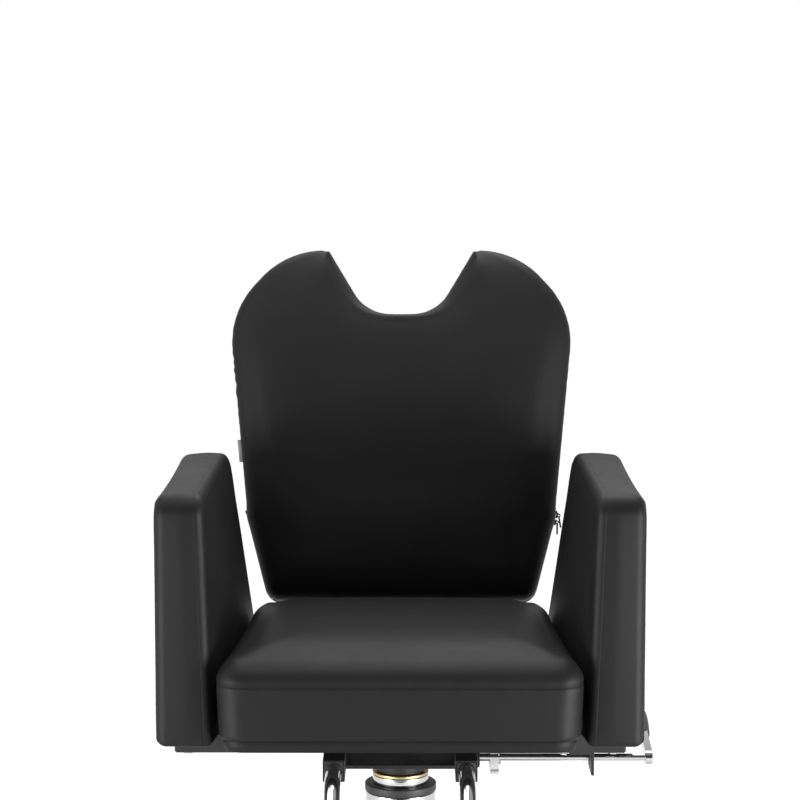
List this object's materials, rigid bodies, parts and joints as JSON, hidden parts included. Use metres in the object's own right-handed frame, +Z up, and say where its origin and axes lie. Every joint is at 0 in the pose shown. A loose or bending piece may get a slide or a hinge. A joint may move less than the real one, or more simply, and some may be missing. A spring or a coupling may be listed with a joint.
{
  "type": "hairdressing chair",
  "caption": "Hydraulic hairdressing chair: padded seat between box arms, reclining backrest with a neck cut-out, pump pedal, footrest bar and round base.",
  "frame": {"origin": "on the floor under the swivel axis, at the centre of the floor mat's underside", "axes": "+Z up along the swivel axis, the chair faces -Y, +X is to the right seen from the front"},
  "size_m": [0.681, 0.8169, 0.9783],
  "materials": {
    "faux_leather": "satin",
    "chrome": "polished",
    "bright_steel": "satin",
    "black_paint": "satin",
    "bronze": "satin",
    "black_plastic": "matte",
    "black_rubber": "matte",
    "plywood": "matte",
    "label_tape": "matte"
  },
  "bodies": {
    "base": {"base_mat": "black_rubber", "base_plate": "bright_steel", "base_cover": "chrome", "pump_cylinder": "black_paint", "pump_sleeve": "chrome", "pump_gland": "black_plastic", "pedal_fork": "black_paint", "pedal_pin": "bright_steel"},
    "pump_pedal": {"pedal_arm": "chrome", "pedal_pad": "black_rubber"},
    "lift": {"pump_ram": "chrome", "swivel_washer": "bronze"},
    "seat": {"swivel_hub": "black_paint", "mount_plate": "black_paint", "rail_left": "black_paint", "rail_right": "black_paint", "cross_rail_front": "black_paint", "cross_rail_rear": "black_paint", "seat_board": "plywood", "seat_cushion": "faux_leather", "arm_core_left": "plywood", "arm_core_right": "plywood", "arm_pad_left": "faux_leather", "arm_pad_right": "faux_leather", "arm_bolt_left_front": "bright_steel", "arm_bolt_left_rear": "bright_steel", "arm_bolt_right_front": "bright_steel", "arm_bolt_right_rear": "bright_steel", "hinge_bracket_left": "black_paint", "hinge_bracket_right": "black_paint", "recline_pin_left": "bright_steel", "recline_pin_right": "bright_steel", "strut_lug": "black_paint", "strut_pin_front": "bright_steel", "lever_bracket": "black_paint", "footrest_socket_left": "black_plastic", "footrest_socket_right": "black_plastic", "footrest_leg_left": "chrome", "footrest_leg_right": "chrome", "footrest_bar": "chrome", "footrest_grip": "black_rubber"},
    "backrest": {"back_bar_left": "black_paint", "back_bar_right": "black_paint", "recline_bush_left": "bronze", "recline_bush_right": "bronze", "recline_crank": "black_paint", "strut_pin_rear": "bright_steel", "back_board": "plywood", "back_cushion": "faux_leather", "zip_chain": "black_plastic", "label": "label_tape"},
    "recline_rod": {"strut_rod": "bright_steel"},
    "recline_cylinder": {"strut_cylinder": "black_paint"},
    "release_button": {"release_pin": "bronze"},
    "recline_lever": {"lever_shaft": "chrome", "lever_grip": "black_plastic"},
    "zip_sliders": {"zip_slider_upper": "black_paint", "zip_slider_lower": "black_paint"},
    "upper_pull": {"zip_pull_upper": "black_paint"},
    "lower_pull": {"zip_pull_lower": "black_paint"}
  },
  "joints": [
    {"name": "pedal_press", "type": "hinge", "parent": "base", "child": "pump_pedal", "pos_m": [0, 0.07, 0.095], "axis": [-1, 0, 0], "range_deg": [0, 14], "stiffness_Nm_per_rad": 6, "springref_deg": -20.05},
    {"name": "seat_lift", "type": "slide", "parent": "base", "child": "lift", "axis": [0, 0, 1], "range_m": [0, 0.14]},
    {"name": "seat_swivel", "type": "hinge", "parent": "lift", "child": "seat", "pos_m": [0, 0, 0.26], "axis": [0, 0, 1], "continuous": true},
    {"name": "back_recline", "type": "hinge", "parent": "seat", "child": "backrest", "pos_m": [0, 0.225, 0.3756], "axis": [-1, 0, 0], "range_deg": [0, 35]},
    {"name": "strut_swing", "type": "hinge", "parent": "seat", "child": "recline_rod", "pos_m": [0.131, -0.045, 0.2856], "axis": [1, 0, 0], "range_deg": [0, 0.8]},
    {"name": "strut_slide", "type": "slide", "parent": "recline_rod", "child": "recline_cylinder", "axis": [0, -0.9968, -0.0796], "range_m": [0, 0.042]},
    {"name": "release_press", "type": "slide", "parent": "recline_rod", "child": "release_button", "axis": [0, 0.9968, 0.0796], "range_m": [0, 0.0065]},
    {"name": "lever_pull", "type": "hinge", "parent": "seat", "child": "recline_lever", "pos_m": [0.2, -0.0938, 0.2996], "axis": [1, 0, 0], "range_deg": [0, 20], "stiffness_Nm_per_rad": 1, "springref_deg": -17.19},
    {"name": "zip_travel", "type": "slide", "parent": "backrest", "child": "zip_sliders", "axis": [-0.2537, -0.234, -0.9385], "range_m": [0, 0.05]},
    {"name": "upper_pull_swing", "type": "hinge", "parent": "zip_sliders", "child": "upper_pull", "pos_m": [0.24154, 0.30199, 0.57278], "axis": [0, -1, 0], "range_deg": [0, 100]},
    {"name": "lower_pull_swing", "type": "hinge", "parent": "zip_sliders", "child": "lower_pull", "pos_m": [0.23875, 0.29456, 0.56366], "axis": [0, -1, 0], "range_deg": [0, 100]}
  ],
  "couplings": [
    {"joint": "strut_swing", "follows": "back_recline", "ratio": 0.02194},
    {"joint": "strut_slide", "follows": "back_recline", "m_per_rad": 0.068661},
    {"joint": "release_press", "follows": "lever_pull", "m_per_rad": 0.018335}
  ]
}
